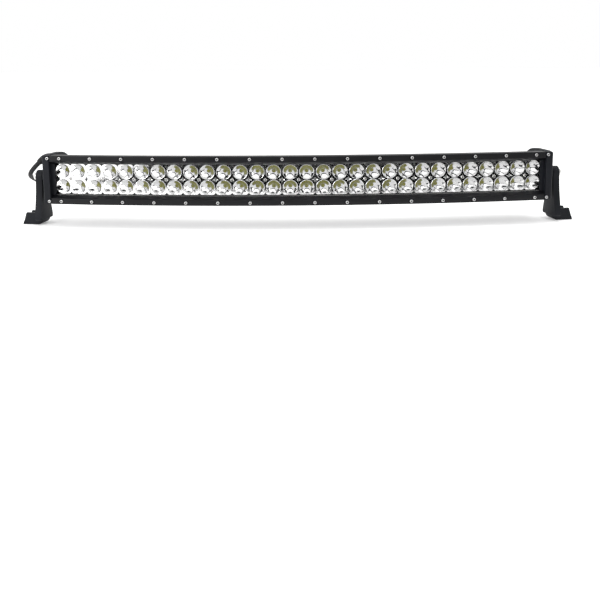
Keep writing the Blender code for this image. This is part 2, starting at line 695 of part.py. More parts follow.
def build():
    clear_scene()
    scene = bpy.context.scene.collection
    scene.children.link(part)
    scene.children.link(cutters)
    powder = material("black_powder_coat", BLACK, 0.45)
    cast = material("black_cast", (0.020, 0.021, 0.024, 1), 0.55)
    clear = material("clear_lens", (0.95, 0.97, 0.98, 1), 0.03, transmission=1.0)
    silicone = material("silicone", (0.55, 0.55, 0.54, 1), 0.7)
    chrome = material("chrome_reflector", (0.85, 0.85, 0.86, 1), 0.08, 1.0)
    mask = material("led_board_white", (0.75, 0.76, 0.74, 1), 0.4)
    laminate = material("driver_board_green", (0.02, 0.16, 0.06, 1), 0.45)
    steel = material("stainless_steel", STEEL, 0.28, 1.0)
    nylon = material("black_nylon", (0.02, 0.02, 0.021, 1), 0.5)
    jacket = material("cable_jacket", (0.016, 0.016, 0.017, 1), 0.6)

    housing(powder)
    bezel_strip("top_bezel_strip", 1, powder)
    bezel_strip("bottom_bezel_strip", -1, powder)
    lens(clear)
    lens_seal("top_lens_seal", 1, silicone)
    lens_seal("bottom_lens_seal", -1, silicone)
    for index in range(MODULES):
        reflector(index, chrome)
    for i, name in enumerate(("left", "centre", "right")):
        led_board(f"led_board_{name}", 5 * i, 5 * i + 5, mask)
    driver_board(laminate)
    for side in (-1, 1):
        end_cap(side, cast)
        for row in (-1, 1):
            cap_screw(side, row, steel)
        pivot_bolt(side, steel)
        pivot_washer(side, steel)
        end_seal(side, silicone)
        bracket(side, cast)
    gland(nylon, jacket)
    tube("power_cable", smooth_line(CABLE_ROUTE, 2), CABLE_RADIUS, jacket)
    plug(nylon, jacket)


build()
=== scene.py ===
import math

import bmesh
import bpy
from mathutils import Matrix, Vector


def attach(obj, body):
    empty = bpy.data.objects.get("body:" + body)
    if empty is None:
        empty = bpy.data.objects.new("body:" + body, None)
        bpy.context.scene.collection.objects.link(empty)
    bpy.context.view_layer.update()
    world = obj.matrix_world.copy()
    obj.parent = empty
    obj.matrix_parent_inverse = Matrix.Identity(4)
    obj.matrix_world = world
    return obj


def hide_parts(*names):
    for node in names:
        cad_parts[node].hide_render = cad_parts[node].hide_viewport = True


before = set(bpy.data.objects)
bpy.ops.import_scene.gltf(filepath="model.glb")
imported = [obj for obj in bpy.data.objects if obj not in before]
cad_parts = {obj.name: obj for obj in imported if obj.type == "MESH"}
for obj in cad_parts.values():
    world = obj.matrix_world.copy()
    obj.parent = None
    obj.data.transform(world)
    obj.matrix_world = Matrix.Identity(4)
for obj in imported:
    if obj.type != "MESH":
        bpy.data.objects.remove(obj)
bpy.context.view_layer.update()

MM = 0.001
BAR = "light_bar"

# The bar's bend and its cross-section, in millimetres: depth back from the front face, height from
# mid-height, and arc length along the front face from the middle.
BEND_RADIUS = 2450
PIVOT_HEIGHT = 77
PIVOT_DEPTH = 34.5
HOUSING_END = 391
CAP_START = 392.3
CAP_END = 404
CAP_BACK = 86.5
CAP_BACK_CENTRE = 42
CAP_TOP = 39.5
CAP_EDGE = 3.2
CAP_SCREW_ARC = 394.5

# The screws at the front, and the bore for each bracket's bolt.
SCREW_ROW_HEIGHT = 33.9
BEZEL_SCREWS = 16
BEZEL_SCREW_PITCH = 50
SCREW_HEAD_RADIUS = 2.3
SCREW_HEAD_HEIGHT = 1.6
SOCKET_HALF_WIDTH = 1.3
BOLT_BORE_RADIUS = 3.35

# The lens, and the outlines of a bezel strip and a cap's tab as (depth, height) above mid-height.
BAR_HALF_HEIGHT = 38.5
LENS_FRONT = 10.2
LENS_BACK = 13.2
LENS_HALF_HEIGHT = 30.1
BEZEL_OUTLINE = ((0.9, 38.5), (0, 37.6), (0, 29.3), (9.9, 24.3), (9.9, 25.9), (3, 30.1), (3, 38.5))
TAB_OUTLINE = ((7.5, 25.0), (9.9, 23.8))
TAB_START = 386

# The half-elliptical back and the grooves between its cooling fins.
BACK_CENTRE = 36
BACK_REACH = 48
BACK_HALF_HEIGHT = 33
SLOPE_END = 44
GROOVES = 10
GROOVE_HALF_WIDTH = 1.6
FIN_PITCH = 6.4
OUTER_GROOVE_FLOOR = 48
INNER_GROOVE_FLOOR = 56

# The bracket's faces and foot, outwards from the cap's outer face, and the gland's place from the bolt.
BRACKET_INNER = 13.8
BRACKET_OUTER = 24.4
FOOT_HALF_DEPTH = 11.5
FOOT_HOLE_OUT = 36
GLAND_BACK = 15.5
GLAND_UP = 29.5

# The LEDs and their reflectors, four to a module.
LED_PITCH = 26
ROW_PITCH = 24
MODULE_PITCH = 2 * LED_PITCH
MODULES = 15
REFLECTOR_FRONT = 15.4
REFLECTOR_BACK = 30.8

# The bar's place in the frame: its rear corners and its middle's front are as far from Y = 0.
CAP_ANGLE = CAP_START / BEND_RADIUS
CAP_LENGTH = CAP_END - CAP_START
REAR_CORNER = (BEND_RADIUS - CAP_BACK) * math.cos(CAP_ANGLE) - CAP_LENGTH * math.sin(CAP_ANGLE)
FRONT_Y = -0.5 * (BEND_RADIUS - REAR_CORNER)
BEND_CENTRE = Vector((0, FRONT_Y + BEND_RADIUS, PIVOT_HEIGHT)) * MM

# The cable's route in metres, from the gland on the left cap to its plug, as in the CAD.
BOOT_ROUTE = (
    (-0.3998, 0.0242, 0.1065), (-0.4061, 0.0252, 0.1065), (-0.4110, 0.0261, 0.1059),
    (-0.4157, 0.0270, 0.1040), (-0.4200, 0.0280, 0.1010), (-0.4239, 0.0291, 0.0976),
)
CABLE_ROUTE = (
    (-0.4283, 0.0303, 0.0935), (-0.4326, 0.0316, 0.0895), (-0.4365, 0.0333, 0.0854),
    (-0.4402, 0.0361, 0.0814), (-0.4432, 0.0400, 0.0777), (-0.4454, 0.0452, 0.0744),
    (-0.4468, 0.0514, 0.0714), (-0.4474, 0.0583, 0.0685), (-0.4471, 0.0656, 0.0656),
    (-0.4461, 0.0732, 0.0625), (-0.4444, 0.0807, 0.0590), (-0.4406, 0.0918, 0.0538),
    (-0.4349, 0.1032, 0.0480), (-0.4273, 0.1146, 0.0417), (-0.4178, 0.1258, 0.0352),
    (-0.4064, 0.1368, 0.0288), (-0.3930, 0.1472, 0.0228), (-0.3776, 0.1569, 0.0173),
    (-0.3605, 0.1655, 0.0126), (-0.3420, 0.1728, 0.0089), (-0.3224, 0.1786, 0.0062),
    (-0.3020, 0.1828, 0.0047), (-0.2815, 0.1852, 0.0042), (-0.2640, 0.1860, 0.0046),
    (-0.2500, 0.1860, 0.0058), (-0.2370, 0.1860, 0.0074), (-0.2240, 0.1860, 0.0082),
)
CABLE_DIAMETER = 0.0075

# The boot's radius in millimetres, how much it tapers, and the depth of its grooves.
BOOT_RADIUS = 7.0
BOOT_TAPER = 2.1
BOOT_GROOVE_DEPTH = 0.75

# The camera looks slightly down at the middle of the bar's front, from 1.16 m.
CAMERA_DISTANCE = 1.160
CAMERA_ELEVATION = math.radians(9.2)
CAMERA_YAW = math.radians(0.46)
CAMERA_ROLL = math.radians(-0.4)
CAMERA_LENS = 45.42
CAMERA_SHIFT = (0.0023, -0.198)


# ---------------------------------------------------------------- places

def section(depth, height, x=0.0):
    """A point of the cross-section at the middle of the bar, in metres."""
    return Vector((x, FRONT_Y + depth, PIVOT_HEIGHT + height)) * MM


def place(arc):
    """Turns what is drawn at the middle of the bar to its place along the bar."""
    turn = Matrix.Rotation(arc / BEND_RADIUS, 4, "Z")
    return Matrix.Translation(BEND_CENTRE) @ turn @ Matrix.Translation(-BEND_CENTRE)


def on_front(arc, depth, height, turn=0.0):
    """A frame on the front of the bar whose Z axis points forwards, out of the face."""
    forwards = Matrix.Rotation(math.radians(90), 4, "X") @ Matrix.Rotation(turn, 4, "Z")
    return place(arc) @ Matrix.Translation(section(depth, height)) @ forwards


def end_frame(side):
    """The axes at the left (-1) or right (+1) bolt: X outwards, Y to the rear, Z up."""
    bolt = section(PIVOT_DEPTH, 0, side * CAP_LENGTH)
    return place(side * CAP_START) @ Matrix.Translation(bolt) @ Matrix.Diagonal((side, 1, 1, 1))


def outwards(side, out, back=0.0, up=0.0):
    """A frame at one end of the bar whose Z axis points outwards along the bolt."""
    towards = Matrix.Rotation(math.radians(90), 4, "Y")
    return end_frame(side) @ Matrix.Translation(Vector((out, back, up)) * MM) @ towards


def smooth_line(route, parts):
    """Points of a smooth curve through a route, with each span cut in a number of parts."""
    points = [Vector(p) for p in route]
    ends = [2 * points[0] - points[1]] + points + [2 * points[-1] - points[-2]]
    line = []
    for a, b, c, d in zip(ends, ends[1:], ends[2:], ends[3:]):
        for t in (i / parts for i in range(parts)):
            bend_part = (2 * a - 5 * b + 4 * c - d) * t**2 + (3 * b - a - 3 * c + d) * t**3
            line.append(0.5 * (2 * b + (c - a) * t + bend_part))
    return line + [points[-1]]


# ---------------------------------------------------------------- camera and cable

def make_camera():
    camera = bpy.data.objects.new("camera", bpy.data.cameras.new("camera"))
    bpy.context.scene.collection.objects.link(camera)
    flat = math.cos(CAMERA_ELEVATION)
    aim = Vector((math.sin(CAMERA_YAW) * flat, math.cos(CAMERA_YAW) * flat, -math.sin(CAMERA_ELEVATION)))
    camera.location = section(0, 0) - CAMERA_DISTANCE * aim
    roll = Matrix.Rotation(CAMERA_ROLL, 3, "Z").to_quaternion()
    camera.rotation_mode = "QUATERNION"
    camera.rotation_quaternion = aim.to_track_quat("-Z", "Y") @ roll
    camera.data.sensor_width = 36
    camera.data.lens = CAMERA_LENS
    camera.data.shift_x, camera.data.shift_y = CAMERA_SHIFT
    camera.data.dof.use_dof = False
    bpy.context.scene.camera = camera


make_camera()

cable_line = smooth_line(BOOT_ROUTE + CABLE_ROUTE, 4)
cable_curve = bpy.data.curves.new("cable", "CURVE")
cable_curve.dimensions = "3D"
cable_curve.bevel_depth = 0.5 * CABLE_DIAMETER
cable_curve.bevel_resolution = 6
cable_curve.use_fill_caps = True
cable_spline = cable_curve.splines.new("POLY")
cable_spline.points.add(len(cable_line) - 1)
for spline_point, at in zip(cable_spline.points, cable_line):
    spline_point.co = (*at, 1)
cable = bpy.data.objects.new("cable", cable_curve)
bpy.context.scene.collection.objects.link(cable)


# ---------------------------------------------------------------- materials

class Shader:
    """A Principled material with helpers for procedural detail in object space."""

    def __init__(self, name, **sockets):
        self.material = bpy.data.materials.new(name)
        self.material.use_nodes = True
        self.nodes = self.material.node_tree.nodes
        self.links = self.material.node_tree.links
        self.shader = self.nodes["Principled BSDF"]
        for key, value in sockets.items():
            self.shader.inputs[key.replace("_", " ")].default_value = value
        self.position = self.nodes.new("ShaderNodeTexCoord").outputs["Object"]

    def stretched(self, scale):
        mapping = self.nodes.new("ShaderNodeMapping")
        mapping.inputs["Scale"].default_value = scale
        self.links.new(self.position, mapping.inputs["Vector"])
        return mapping.outputs["Vector"]

    def noise(self, scale, detail=3.0, roughness=0.55, source=None):
        node = self.nodes.new("ShaderNodeTexNoise")
        node.inputs["Scale"].default_value = scale
        node.inputs["Detail"].default_value = detail
        node.inputs["Roughness"].default_value = roughness
        self.links.new(source or self.position, node.inputs["Vector"])
        return node.outputs["Fac"]

    def ramp(self, source, stops):
        node = self.nodes.new("ShaderNodeValToRGB")
        ramp = node.color_ramp
        while len(ramp.elements) < len(stops):
            ramp.elements.new(0.5)
        for element, (at, colour) in zip(ramp.elements, stops):
            element.position = at
            element.color = colour
        self.links.new(source, node.inputs["Fac"])
        return node.outputs["Color"]

    def spread(self, source, low, high, start=0.3, end=0.7):
        node = self.nodes.new("ShaderNodeMapRange")
        node.inputs["From Min"].default_value = start
        node.inputs["From Max"].default_value = end
        node.inputs["To Min"].default_value = low
        node.inputs["To Max"].default_value = high
        self.links.new(source, node.inputs["Value"])
        return node.outputs["Result"]

    def feed(self, socket, source):
        self.links.new(source, self.shader.inputs[socket])

    def bump(self, source, strength, distance, base=None):
        node = self.nodes.new("ShaderNodeBump")
        node.inputs["Strength"].default_value = strength
        node.inputs["Distance"].default_value = distance
        self.links.new(source, node.inputs["Height"])
        if base:
            self.links.new(base, node.inputs["Normal"])
        self.feed("Normal", node.outputs["Normal"])
        return node.outputs["Normal"]


def coated(name, dark, light, gloss, rough, grain, strength):
    """A black coat: fine orange-peel grain over a slow change of gloss and tone."""
    made = Shader(name, Specular_IOR_Level=gloss)
    cloud = made.noise(22, 4)
    made.feed("Base Color", made.ramp(cloud, [(0.3, dark), (0.75, light)]))
    made.feed("Roughness", made.spread(made.noise(60, 5), rough - 0.06, rough + 0.07))
    peel = made.bump(made.noise(grain, 2), strength, 0.0002)
    made.bump(made.noise(grain * 3.1, 2), 0.5 * strength, 0.0001, peel)
    return made.material


def powder_coat():
    dark, light = (0.0020, 0.0021, 0.0028, 1), (0.0046, 0.0048, 0.0062, 1)
    return coated("powder coat", dark, light, 0.21, 0.40, 1400, 0.10)


def cast_coat():
    dark, light = (0.0045, 0.0052, 0.0068, 1), (0.0085, 0.0095, 0.0125, 1)
    return coated("cast coat", dark, light, 0.13, 0.50, 850, 0.22)


def metal(name, colour, rough, stretch, scale):
    """Bare metal whose fine marks may be stretched along an axis."""
    made = Shader(name, Metallic=1.0)
    streaks = made.noise(scale, 3, 0.6, made.stretched(stretch))
    low = tuple(0.86 * c for c in colour) + (1,)
    made.feed("Base Color", made.ramp(streaks, [(0.3, low), (0.7, (*colour, 1))]))
    made.feed("Roughness", made.spread(streaks, rough - 0.05, rough + 0.05))
    made.bump(streaks, 0.05, 0.0001)
    return made.material


def chrome():
    made = Shader("chrome reflector", Metallic=1.0)
    cloud = made.noise(90, 3)
    dark, light = (0.90, 0.90, 0.90, 1), (0.96, 0.96, 0.96, 1)
    made.feed("Base Color", made.ramp(cloud, [(0.3, dark), (0.7, light)]))
    made.feed("Roughness", made.spread(made.noise(260, 4), 0.045, 0.10))
    made.bump(made.noise(420, 2), 0.06, 0.0002)
    return made.material


def phosphor():
    made = Shader("LED phosphor", Coat_Weight=0.7, Coat_Roughness=0.05)
    grains = made.noise(1700, 4)
    dark, light = (0.16, 0.16, 0.018, 1), (0.27, 0.265, 0.040, 1)
    made.feed("Base Color", made.ramp(grains, [(0.3, dark), (0.7, light)]))
    made.feed("Roughness", made.spread(grains, 0.35, 0.5))
    made.bump(grains, 0.12, 0.0001)
    return made.material


def enamel(name, dark, light, rough, scale, strength=0.1, **sockets):
    """A painted, moulded or printed surface with a fine grain."""
    made = Shader(name, **sockets)
    grain = made.noise(scale, 4)
    made.feed("Base Color", made.ramp(grain, [(0.3, dark), (0.7, light)]))
    made.feed("Roughness", made.spread(made.noise(0.3 * scale, 3), rough - 0.06, rough + 0.08))
    made.bump(grain, strength, 0.0001)
    return made.material


def clear_lens():
    made = Shader("clear polycarbonate", Alpha=0.05, IOR=1.5)
    haze = made.noise(35, 4)
    dark, light = (0.010, 0.012, 0.012, 1), (0.03, 0.034, 0.034, 1)
    made.feed("Base Color", made.ramp(haze, [(0.35, dark), (0.7, light)]))
    made.feed("Roughness", made.spread(haze, 0.015, 0.05))
    made.bump(made.noise(14, 1), 0.02, 0.0005)
    return made.material


powder = powder_coat()
cast = cast_coat()
mirror = chrome()
steel = metal("stainless steel", (0.80, 0.79, 0.77), 0.22, (1, 1, 6), 600)
screw_steel = metal("screw steel", (0.90, 0.90, 0.89), 0.34, (1, 1, 1), 600)
zinc = metal("washer steel", (0.62, 0.62, 0.61), 0.32, (1, 1, 1), 900)
copper = metal("contact brass", (0.83, 0.62, 0.30), 0.25, (1, 1, 1), 900)
yellow = phosphor()
package = enamel("LED package", (0.16, 0.16, 0.07, 1), (0.24, 0.24, 0.12, 1), 0.4, 1500)
board = enamel("white solder mask", (0.66, 0.67, 0.65, 1), (0.80, 0.81, 0.79, 1), 0.35, 300, 0.05)
silicone = enamel("silicone", (0.46, 0.46, 0.45, 1), (0.60, 0.60, 0.58, 1), 0.65, 700)
laminate = enamel("driver laminate", (0.012, 0.11, 0.04, 1), (0.03, 0.19, 0.07, 1), 0.4, 500)
# The screw sockets are steel; this near-black colour is painted shade for their hollows.
socket = enamel("screw socket", (0.008, 0.008, 0.009, 1), (0.02, 0.02, 0.021, 1), 0.5, 900)
DULL = {"Specular_IOR_Level": 0.2}
nylon = enamel("black nylon", (0.012, 0.012, 0.013, 1), (0.024, 0.024, 0.025, 1), 0.48, 1100, **DULL)
jacket = enamel("cable jacket", (0.010, 0.010, 0.011, 1), (0.020, 0.020, 0.021, 1), 0.55, 900, 0.16, **DULL)
rubber = enamel("moulded rubber", (0.011, 0.011, 0.012, 1), (0.022, 0.022, 0.023, 1), 0.60, 1300, 0.2, **DULL)
glass = clear_lens()


# ---------------------------------------------------------------- mesh helpers

def make(name, bm, finish, body=BAR, sharp=32.0, replaced=()):
    """A named piece from a bmesh, smooth except at sharp edges, that rides on a body."""
    bmesh.ops.recalc_face_normals(bm, faces=bm.faces)
    mesh = bpy.data.meshes.new(name)
    bm.to_mesh(mesh)
    bm.free()
    mesh.shade_smooth()
    mesh.set_sharp_from_angle(angle=math.radians(sharp))
    piece = bpy.data.objects.new(name, mesh)
    mesh.materials.append(finish)
    bpy.context.scene.collection.objects.link(piece)
    if body:
        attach(piece, body)
    if replaced:
        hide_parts(*replaced)
    return piece


def settle(piece, sharp=32.0):
    """Applies a piece's modifiers to its mesh."""
    graph = bpy.context.evaluated_depsgraph_get()
    mesh = bpy.data.meshes.new_from_object(piece.evaluated_get(graph))
    piece.modifiers.clear()
    piece.data = mesh
    mesh.shade_smooth()
    mesh.set_sharp_from_angle(angle=math.radians(sharp))


def combine(piece, tools, sharp=32.0):
    """Cuts or joins a piece with other pieces, (object, operation) by turns, and removes them."""
    for tool, operation in tools:
        modifier = piece.modifiers.new(operation.lower(), "BOOLEAN")
        modifier.operation = operation
        modifier.solver = "EXACT"
        modifier.object = tool
    settle(piece, sharp)
    for tool, _ in tools:
        bpy.data.objects.remove(tool)


def ease(piece, width):
    """Rounds a piece's edges, as casting and coating leave them."""
    modifier = piece.modifiers.new("ease", "BEVEL")
    modifier.width = width * MM
    modifier.segments = 3
    modifier.limit_method = "ANGLE"
    modifier.angle_limit = math.radians(38)
    modifier.use_clamp_overlap = True
    settle(piece, 40)


def rounded(outline, radius, steps=3):
    """A closed outline with its corners rounded."""
    made = []
    count = len(outline)
    for i in range(count):
        corner = Vector(outline[i])
        before = Vector(outline[i - 1]) - corner
        after = Vector(outline[(i + 1) % count]) - corner
        reach = min(radius, 0.45 * before.length, 0.45 * after.length)
        start = corner + before.normalized() * reach
        end = corner + after.normalized() * reach
        for k in range(steps + 1):
            t = k / steps
            made.append(tuple((1 - t) ** 2 * start + 2 * t * (1 - t) * corner + t * t * end))
    return made


def mirrored(half):
    """The upper half of a cross-section and its mirror image below."""
    return half + [(d, -h) for d, h in reversed(half)]


def sweep(bm, outline, start, end, steps):
    """Carries a cross-section along the bar's bend."""
    rows = []
    for k in range(steps + 1):
        turn = place(start + (end - start) * k / steps)
        rows.append([bm.verts.new(turn @ section(d, h)) for d, h in outline])
    for a, b in zip(rows, rows[1:]):
        for i in range(len(outline)):
            bm.faces.new((a[i - 1], a[i], b[i], b[i - 1]))
    bm.faces.new(rows[0])
    bm.faces.new(rows[-1][::-1])


def slab(bm, points, across):
    """A flat slab from a loop of points, pushed out by a vector."""
    near = [bm.verts.new(p) for p in points]
    far = [bm.verts.new(Vector(p) + across) for p in points]
    for i in range(len(points)):
        bm.faces.new((near[i - 1], near[i], far[i], far[i - 1]))
    bm.faces.new(near)
    bm.faces.new(far[::-1])


def rings(bm, loops, close=True):
    """Skins a list of loops that have as many points each, and may close both ends."""
    rows = [[bm.verts.new(p) for p in loop] for loop in loops]
    count = len(loops[0])
    for a, b in zip(rows, rows[1:]):
        for i in range(count):
            bm.faces.new((a[i - 1], a[i], b[i], b[i - 1]))
    if close:
        bm.faces.new(rows[0])
        bm.faces.new(rows[-1][::-1])
    return rows


def circle(radius, along, sides=32, matrix=Matrix()):
    """A loop of points round the Z axis. The radius may depend on the angle."""
    points = []
    for k in range(sides):
        angle = 2 * math.pi * k / sides
        r = radius(angle) if callable(radius) else radius
        points.append(matrix @ (Vector((r * math.cos(angle), r * math.sin(angle), along)) * MM))
    return points


def turned(bm, profile, matrix, sides=32, close=True):
    """Turns a profile of (along, radius) points about the Z axis."""
    return rings(bm, [circle(r, z, sides, matrix) for z, r in profile], close)


def polygon_radius(corners, inner):
    """The radius of a regular polygon, by angle."""
    step = 2 * math.pi / corners

    def radius(angle):
        return inner / math.cos((angle + 0.5 * step) % step - 0.5 * step)

    return radius


def cross_radius(angle):
    """The radius of a cross-shaped recess, by angle."""
    quarter = math.pi / 2
    off = abs((angle + quarter / 2) % quarter - quarter / 2)
    return 1.45 if off < math.radians(17) else 0.5


def cylinder(bm, radius, start, end, matrix, sides=32):
    turned(bm, [(start, radius), (end, radius)], matrix, sides)


def joined_cutter(draw):
    """A helper solid for combine(), drawn by a function."""
    bm = bmesh.new()
    draw(bm)
    return make("cutter", bm, powder, body=None)


# ---------------------------------------------------------------- housing, bezels, lens

def back_depth(height):
    """How far back the half-elliptical back reaches at a height."""
    across = min(1.0, abs(height) / BACK_HALF_HEIGHT)
    return BACK_CENTRE + BACK_REACH * math.sqrt(1 - across**2)


def housing_outline():
    """The extrusion: the optics' channel, then the slope, and fins with rounded tips."""
    slope_low = BACK_HALF_HEIGHT * math.sqrt(1 - ((SLOPE_END - BACK_CENTRE) / BACK_REACH) ** 2)
    half = [(33, 24.6), (15, 24.6), (15, 30.4), (3.3, 30.4), (3.3, 38.3), (3.6, BAR_HALF_HEIGHT)]
    half += [(15, BAR_HALF_HEIGHT), (SLOPE_END, slope_low)]
    for i in range(GROOVES // 2):
        height = (0.5 * GROOVES - 0.5 - i) * FIN_PITCH
        top, low = height + GROOVE_HALF_WIDTH, height - GROOVE_HALF_WIDTH
        floor = OUTER_GROOVE_FLOOR if height > 3 * FIN_PITCH else INNER_GROOVE_FLOOR
        half += [(back_depth(top), top), (floor, top - 0.3), (floor, low + 0.3), (back_depth(low), low)]
    return rounded(mirrored(half), 0.8, 3)


def make_housing():
    bm = bmesh.new()
    sweep(bm, housing_outline(), -HOUSING_END, HOUSING_END, 60)
    make("housing_extrusion", bm, powder, replaced=["housing"])


def bezel_screw_arcs():
    middle = 0.5 * (BEZEL_SCREWS - 1)
    return [BEZEL_SCREW_PITCH * (k - middle) for k in range(BEZEL_SCREWS)]


def make_bezel(name, side):
    """A bezel strip with a counterbore for each of its screws."""
    outline = rounded([(d, side * h) for d, h in BEZEL_OUTLINE], 0.45, 3)
    bm = bmesh.new()
    sweep(bm, outline, -HOUSING_END, HOUSING_END, 60)
    strip = make(name, bm, powder, replaced=[name.replace("_front", "_strip")])

    def holes(bm):
        for arc in bezel_screw_arcs():
            at = on_front(arc, 0, side * SCREW_ROW_HEIGHT)
            turned(bm, [(-1.9, 2.65), (-0.25, 2.65), (1, 3.9)], at, 28)

    combine(strip, [(joined_cutter(holes), "DIFFERENCE")])


def socket_screw(heads, wells, at):
    """A button-head screw with a hexagon socket. Its Z axis points out of the head."""
    radius, height = SCREW_HEAD_RADIUS, SCREW_HEAD_HEIGHT
    hexagon = polygon_radius(6, SOCKET_HALF_WIDTH)
    profile = [(-1.2, radius), (0.30 * height, radius), (0.66 * height, 0.97 * radius)]
    profile += [(0.90 * height, 0.88 * radius), (height, 0.76 * radius)]
    loops = [circle(r, z, 24, at) for z, r in profile]
    loops.append(circle(hexagon, height - 0.05, 24, at))
    rings(heads, loops, close=False)
    well = [circle(hexagon, height - 0.05, 24, at), circle(hexagon, height - 1.3, 24, at)]
    rows = rings(wells, well, close=False)
    wells.faces.new(rows[-1])


def make_screw_set(name, places, replaced=()):
    """Screws at a list of places, and their sockets as a second piece, coloured near-black as painted shade.
    """
    heads, wells = bmesh.new(), bmesh.new()
    for at in places:
        socket_screw(heads, wells, at)
    make(f"{name}s", heads, screw_steel, replaced=replaced, sharp=50)
    make(f"{name}_sockets", wells, socket)


def make_front_screws():
    """The 32 bezel screws and the four cap screws, each turned by its own angle."""
    places = []
    for row in (-1, 1):
        for k, arc in enumerate(bezel_screw_arcs()):
            places.append(on_front(arc, 1.0, row * SCREW_ROW_HEIGHT, 0.7 * k + row))
    make_screw_set("bezel_screw", places)
    places = []
    for side in (-1, 1):
        for row in (-1, 1):
            places.append(on_front(side * CAP_SCREW_ARC, 0.2, row * SCREW_ROW_HEIGHT, 0.4 * side + row))
    names = [f"cap_screw_{end}_{row}" for end in ("left", "right") for row in ("top", "bottom")]
    make_screw_set("cap_screw", places, names)


def make_lens():
    bm = bmesh.new()
    outline = rounded(mirrored([(LENS_FRONT, LENS_HALF_HEIGHT), (LENS_BACK, LENS_HALF_HEIGHT)]), 0.3, 2)
    sweep(bm, outline, -HOUSING_END, HOUSING_END, 60)
    make("lens_panel", bm, glass, replaced=["lens"])


# ---------------------------------------------------------------- reflectors and LEDs

CUP_SIDES = 32
CUP_FOCUS = 1.85
FOCUS_HEIGHT = 0.9
CUP_FLOOR_RADIUS = 2.8
CUP_RIM = ((11.75, 0.0), (11.65, -0.45), (11.45, -0.6), (11.2, -0.5))
CUP_STATIONS = (14.7, 13.4, 11.8, 10.0, 8.2, 6.4, 4.8, 3.4, 2.2, 1.1, 0.0)
PIT_DEPTH = 2.1
PIT_CLIP = 21.6
MODULE_SCREW_RADIUS = 1.6
LED_DOME = ((0.0, 2.65), (0.2, 2.6), (0.38, 2.2), (0.5, 1.4), (0.55, 0.3))


def cup_radius(height):
    """A paraboloid whose focus is a little in front of the LED, and a straight well at its foot."""
    rise = max(0.0, height - FOCUS_HEIGHT + CUP_FOCUS)
    return max(CUP_FLOOR_RADIUS, 2 * math.sqrt(CUP_FOCUS * rise))


def cell_loop(half_x, half_y, depth, inset, pits, clip=None):
    """A square loop round a cup, in (x, depth, height). Corners at pits are lowered, or clipped off."""
    loop = []
    for k in range(CUP_SIDES):
        angle = 2 * math.pi * k / CUP_SIDES
        c, s = math.cos(angle), math.sin(angle)
        reach = min(half_x / max(abs(c), 1e-6), half_y / max(abs(s), 1e-6)) * (1 - inset)
        corner = (k % (CUP_SIDES // 4)) == CUP_SIDES // 8
        pitted = corner and (c > 0, s > 0) in pits
        if clip and pitted:
            reach = clip / (abs(c) + abs(s))
        low = PIT_DEPTH if pitted and not clip else 0.0
        loop.append((reach * c, depth + low, reach * s))
    return loop


def cup_cell(bm, turn, x, height, half_x, inner):
    """One cup with its raised rim, and the flat round it; inner says which corner has a screw."""
    pits = {(a, b) for a in (True, False) for b in (True, False)} - {inner}
    half_y = 0.5 * ROW_PITCH
    loops = [
        cell_loop(half_x, half_y, REFLECTOR_BACK - 4, 0.0, ()),
        cell_loop(half_x, half_y, REFLECTOR_FRONT, 0.0, pits),
        cell_loop(half_x, half_y, REFLECTOR_FRONT, 0.01, pits, PIT_CLIP),
    ]
    sections = [(r, REFLECTOR_FRONT + d) for r, d in CUP_RIM]
    sections += [(cup_radius(h), REFLECTOR_BACK - h) for h in CUP_STATIONS]
    for radius, depth in sections:
        loop = []
        for k in range(CUP_SIDES):
            angle = 2 * math.pi * k / CUP_SIDES
            loop.append((radius * math.cos(angle), depth, radius * math.sin(angle)))
        loops.append(loop)
    placed = [[turn @ section(d, height + z, x + u) for u, d, z in loop] for loop in loops]
    rings(bm, placed, close=False)


def make_reflectors():
    """The modules of four cups, each with a cross-head screw in its middle."""
    bm, screws, slots = bmesh.new(), bmesh.new(), bmesh.new()
    shrink = 1 - REFLECTOR_FRONT / BEND_RADIUS
    half_x = 0.5 * LED_PITCH * shrink - 0.1
    for module in range(MODULES):
        arc = (module - 7) * MODULE_PITCH
        turn = place(arc)
        for column in (-1, 1):
            for row in (-1, 1):
                x = column * half_x
                cup_cell(bm, turn, x, row * 0.5 * ROW_PITCH, half_x, (column < 0, row < 0))
        at = on_front(arc, REFLECTOR_FRONT, 0, 0.9 * module)
        top = circle(MODULE_SCREW_RADIUS, 1.3, 24, at)
        edge = circle(cross_radius, 1.3, 24, at)
        floor = circle(cross_radius, 0.5, 24, at)
        turned(screws, [(-0.5, 2.5), (0.5, 2.5), (1.0, 2.2), (1.3, MODULE_SCREW_RADIUS)], at, 24, close=False)
        rings(screws, [top, edge], close=False)
        rows = rings(slots, [edge, floor], close=False)
        slots.faces.new(rows[-1])
    names = [f"reflector_{k + 1:02d}" for k in range(MODULES)]
    make("reflector_modules", bm, mirror, replaced=names, sharp=28)
    make("module_screws", screws, steel, sharp=50)
    # The cross recesses take the near-black painted shade of the screw sockets.
    make("module_screw_slots", slots, socket)


def make_leds():
    """Each LED: a round package with silver leads, and a low dome of phosphor."""
    domes, bodies, leads = bmesh.new(), bmesh.new(), bmesh.new()
    for module in range(MODULES):
        for column in (-1, 1):
            arc = (module - 7) * MODULE_PITCH + column * 0.5 * LED_PITCH
            for row in (-1, 1):
                at = on_front(arc, REFLECTOR_BACK, row * 0.5 * ROW_PITCH, math.radians(90))
                turned(domes, LED_DOME, at, 20)
                cylinder(bodies, 2.75, -0.3, 0.1, at, 20)
                lift = at.to_3x3() @ (Vector((0, 0, 0.35)) * MM)
                for side in (-1, 1):
                    near, far = side * 3.5, side * 4.2
                    corners = ((near, -0.8), (near, 0.8), (far, 0.8), (far, -0.8))
                    slab(leads, [at @ (Vector((u, v, 0.0)) * MM) for u, v in corners], lift)
    make("led_domes", domes, yellow)
    make("led_packages", bodies, package)
    make("led_leads", leads, zinc)


# ---------------------------------------------------------------- end caps

